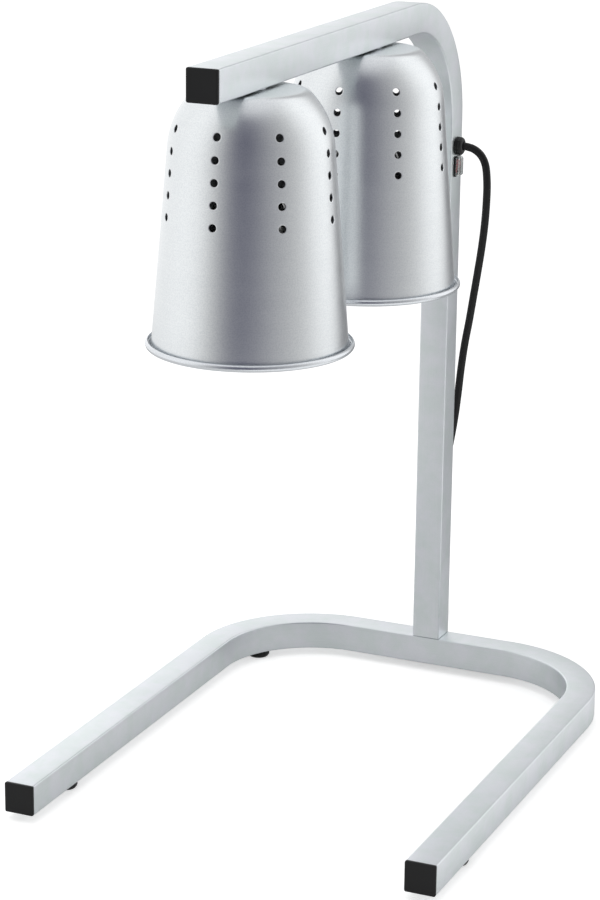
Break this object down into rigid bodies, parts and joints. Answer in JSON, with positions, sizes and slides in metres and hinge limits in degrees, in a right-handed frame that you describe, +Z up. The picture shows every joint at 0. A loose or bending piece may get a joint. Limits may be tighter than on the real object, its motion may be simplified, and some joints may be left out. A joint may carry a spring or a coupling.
{
  "type": "two-lamp food warming stand",
  "caption": "Free-standing food warmer: a bent square-tube arm on a U-shaped base holds two bell shades with infrared reflector bulbs over a serving space",
  "frame": {"origin": "on the counter surface, under the middle of the stand's box without its cord", "axes": "+Z up and the longest extent, -Y the front where the arm and the legs end, +X the side that the cord leaves"},
  "size_m": [0.436, 0.7663, 0.733],
  "materials": {
    "tube": "satin anodised tube with soft corners",
    "shade": "spun and fine-turned, clear anodised, polished rolled rim",
    "end_plug": "moulded, fine matt grain",
    "foot_rubber": "moulded, smooth",
    "fixing": "bright zinc plated",
    "socket_brass": "bright rolled sheet",
    "ceramic": "white glaze",
    "bulb": "clear and smooth, mirrored inside its neck",
    "filament": "drawn wire on a glass mount",
    "gland_plastic": "moulded, matt",
    "switch_black": "moulded, semi-gloss",
    "switch_red": "moulded, gloss",
    "boot": "clear silicone",
    "terminal": "moulded, pale",
    "lead_sleeve": "braided glass sleeve",
    "cord": "smooth extruded sheath, matt",
    "plug_plastic": "moulded, matt",
    "pin_metal": "nickel plated",
    "tie": "soft strap"
  },
  "bodies": {
    "stand": {"base_frame": "tube", "post_arm": "tube", "base_plug_left": "end_plug", "base_plug_right": "end_plug", "arm_plug": "end_plug", "post_insert": "fixing", "post_bolt_left": "fixing", "post_bolt_right": "fixing", "foot_1": "foot_rubber", "foot_screw_1": "fixing", "foot_2": "foot_rubber", "foot_screw_2": "fixing", "foot_3": "foot_rubber", "foot_screw_3": "fixing", "foot_4": "foot_rubber", "foot_screw_4": "fixing", "front_nipple": "fixing", "front_nipple_nut": "fixing", "front_shade_spacer": "fixing", "front_shade": "shade", "front_clamp_washer": "fixing", "front_holder": "ceramic", "front_screw_shell": "socket_brass", "front_centre_contact": "socket_brass", "front_lead": "lead_sleeve", "rear_nipple": "fixing", "rear_nipple_nut": "fixing", "rear_shade_spacer": "fixing", "rear_shade": "shade", "rear_clamp_washer": "fixing", "rear_holder": "ceramic", "rear_screw_shell": "socket_brass", "rear_centre_contact": "socket_brass", "rear_lead": "lead_sleeve", "gland_body": "gland_plastic", "gland_nut": "gland_plastic", "gland_lock_nut": "gland_plastic", "switch_housing": "switch_black", "switch_boot": "boot", "terminal_block": "terminal", "supply_core": "lead_sleeve", "switch_lead": "lead_sleeve", "cord_drop": "cord", "cord_hank": "cord", "cord_tail": "cord", "hank_tie": "tie", "plug_body": "plug_plastic", "plug_pin_left": "pin_metal", "plug_pin_right": "pin_metal", "plug_earth_left": "pin_metal", "plug_earth_right": "pin_metal"},
    "front_bulb": {"front_bulb_glass": "bulb", "front_bulb_cap": "socket_brass", "front_bulb_filament": "filament"},
    "rear_bulb": {"rear_bulb_glass": "bulb", "rear_bulb_cap": "socket_brass", "rear_bulb_filament": "filament"},
    "rocker": {"switch_rocker": "switch_red"}
  },
  "joints": [
    {"name": "front_bulb_turn", "type": "hinge", "parent": "stand", "child": "front_bulb", "pos_m": [0, -0.194, 0.64], "axis": [0, 0, -1], "range_deg": [0, 1080]},
    {"name": "rear_bulb_turn", "type": "hinge", "parent": "stand", "child": "rear_bulb", "pos_m": [0, 0.071, 0.64], "axis": [0, 0, -1], "range_deg": [0, 1080]},
    {"name": "switch_press", "type": "hinge", "parent": "stand", "child": "rocker", "pos_m": [0.0145, 0.279, 0.553], "axis": [0, -1, 0], "range_deg": [0, 18]}
  ]
}
